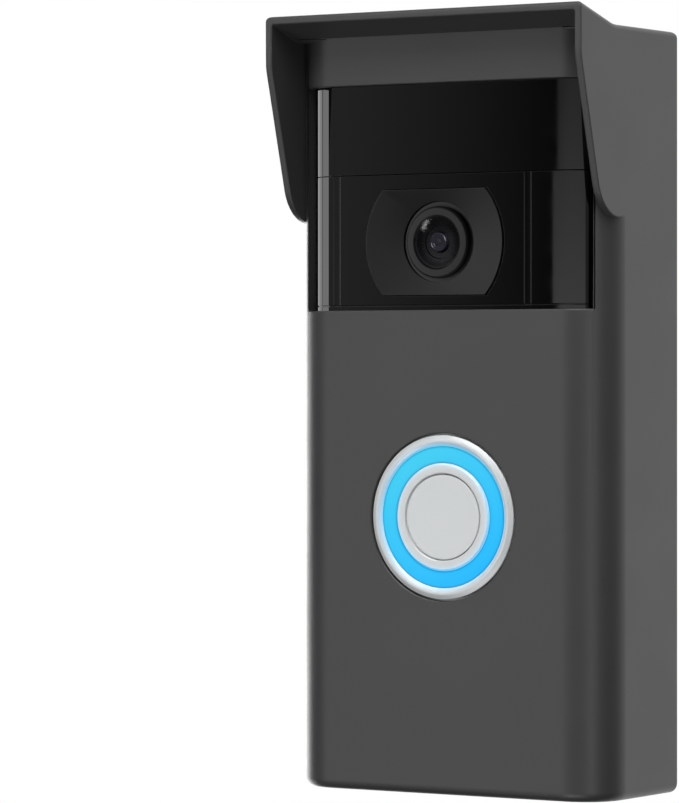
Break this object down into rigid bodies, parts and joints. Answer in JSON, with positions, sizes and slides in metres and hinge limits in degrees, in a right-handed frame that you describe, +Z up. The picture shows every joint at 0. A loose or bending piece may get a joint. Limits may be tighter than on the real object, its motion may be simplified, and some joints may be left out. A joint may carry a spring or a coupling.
{
  "type": "video doorbell",
  "caption": "Battery video doorbell with a camera in a black head and a round lit push button, on a wall bracket, inside a slip-on hood with a sloping visor and side flaps.",
  "frame": {"origin": "centre of the mounting bracket's wall face", "axes": "+Z up along the doorbell's length, +Y into the wall, so the front faces -Y"},
  "size_m": [0.067, 0.0374, 0.1429],
  "materials": {
    "hood_plastic": "fine moulded grain, charcoal grey",
    "silver_paint": "satin silver paint",
    "gloss_black": "high gloss, smoked black",
    "satin_black": "satin black",
    "clear_glass": "coated optical glass",
    "lamp_epoxy": "dark infrared epoxy",
    "button_silver": "satin silver",
    "glow_blue": "translucent, lit blue",
    "housing_black": "fine moulded grain",
    "board_green": "solder mask",
    "steel": "plated",
    "black_rubber": "soft, matt",
    "battery_wrap": "printed foil wrap",
    "orange_plastic": "satin",
    "milky_plastic": "milky, infrared-clear"
  },
  "bodies": {
    "bracket": {"mounting_bracket": "housing_black"},
    "doorbell": {"faceplate": "silver_paint", "upper_cap": "gloss_black", "camera_fascia": "gloss_black", "lens_plate": "satin_black", "lens_ring": "satin_black", "lens_barrel": "satin_black", "camera_glass": "clear_glass", "lens_element": "clear_glass", "infrared_led_1": "lamp_epoxy", "infrared_led_2": "lamp_epoxy", "infrared_led_3": "lamp_epoxy", "infrared_led_4": "lamp_epoxy", "button_bezel": "button_silver", "button_surround": "button_silver", "light_ring": "glow_blue", "front_housing": "housing_black", "rear_housing": "housing_black", "button_switch": "housing_black", "setup_switch": "housing_black", "terminal_block": "housing_black", "speaker": "housing_black", "image_sensor": "housing_black", "main_board": "board_green", "camera_board": "board_green", "sensor_board": "board_green", "ring_light_board": "board_green", "charging_board": "board_green", "housing_screw_lower_left": "steel", "housing_screw_lower_right": "steel", "housing_screw_upper_left": "steel", "housing_screw_upper_right": "steel", "security_screw_left": "steel", "security_screw_right": "steel", "terminal_screw_left": "steel", "terminal_screw_right": "steel", "motion_sensor_left": "steel", "motion_sensor_right": "steel", "radio_shield": "steel", "wifi_antenna": "steel", "microphone": "steel", "charging_port": "steel", "housing_gasket": "black_rubber", "speaker_gasket": "black_rubber", "microphone_boot": "black_rubber", "battery_pack": "battery_wrap", "motion_lens": "milky_plastic"},
    "hood": {"rain_hood": "hood_plastic"},
    "button": {"button_cap": "button_silver"},
    "setup": {"setup_button": "orange_plastic"}
  },
  "joints": [
    {"name": "doorbell_lift", "type": "slide", "parent": "bracket", "child": "doorbell", "axis": [0, 0, 1], "range_m": [0, 0.0045]},
    {"name": "hood_pull", "type": "slide", "parent": "doorbell", "child": "hood", "axis": [0, -1, 0], "range_m": [0, 0.045]},
    {"name": "button_press", "type": "slide", "parent": "doorbell", "child": "button", "axis": [0, 1, 0], "range_m": [0, 0.0006], "stiffness_N_per_m": 600, "springref_m": -0.0006},
    {"name": "setup_press", "type": "slide", "parent": "doorbell", "child": "setup", "axis": [0, -1, 0], "range_m": [0, 0.0005], "stiffness_N_per_m": 600, "springref_m": -0.0005}
  ]
}
